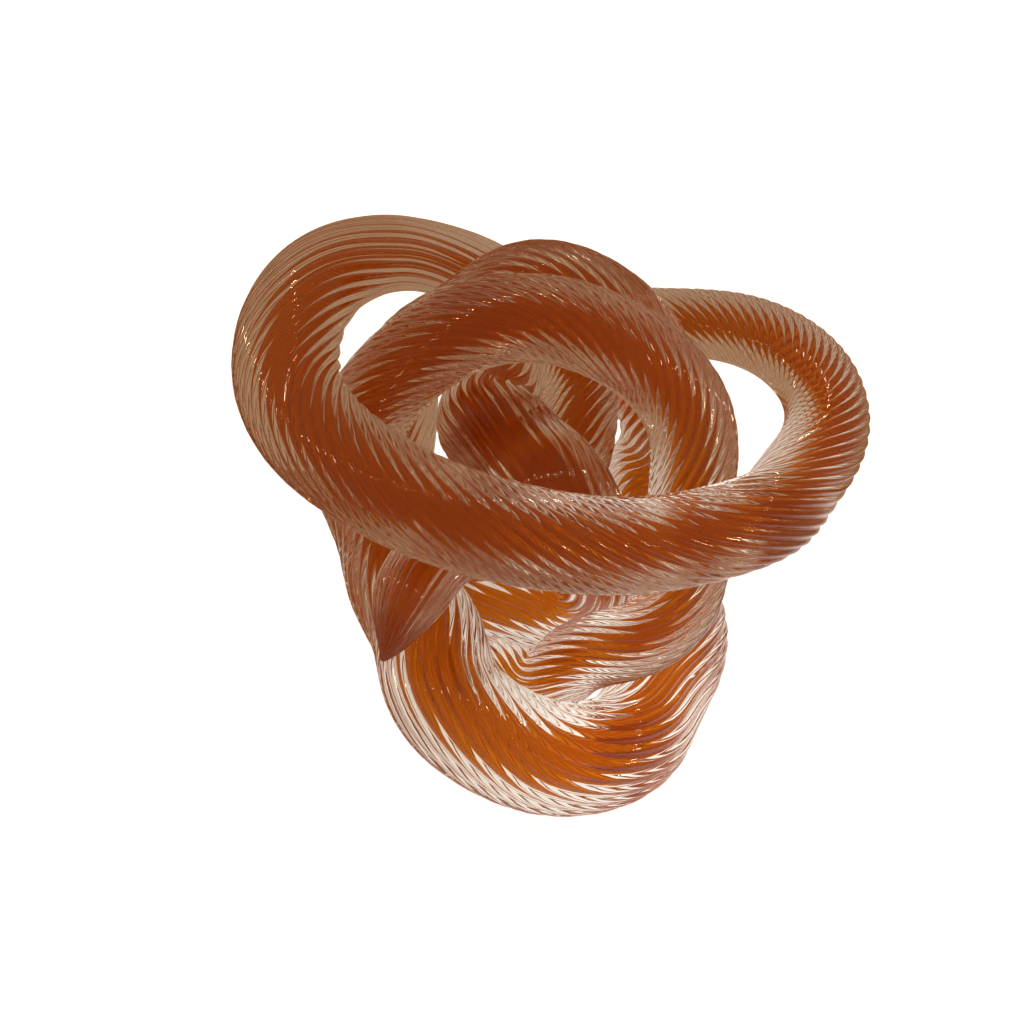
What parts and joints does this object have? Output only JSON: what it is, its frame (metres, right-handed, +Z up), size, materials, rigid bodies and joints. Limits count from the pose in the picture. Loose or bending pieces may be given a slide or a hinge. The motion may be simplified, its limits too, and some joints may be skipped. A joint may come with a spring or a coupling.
{
  "type": "glass knot paperweight",
  "caption": "Free-standing paperweight: one fluted, twisted cane of clear glass over an amber core, tied in a loose knot with side lobes, its rounded tail laid on the thick front bend.",
  "frame": {"origin": "middle of the bounding box on the surface that the knot stands on", "axes": "+Z up; -Y is the pictured front, with the thick bend and the rounded tail; +X is the viewer's right, where the thin lobe is"},
  "size_m": [0.1444, 0.154, 0.1036],
  "materials": {
    "clear_glass": "clear, faintly warm glass with twisted flutes and fire-polished edges",
    "amber_glass": "transparent amber-brown glass, seen through the clear casing"
  },
  "bodies": {
    "root": {"clear_casing": "clear_glass", "amber_core": "amber_glass"}
  },
  "joints": []
}
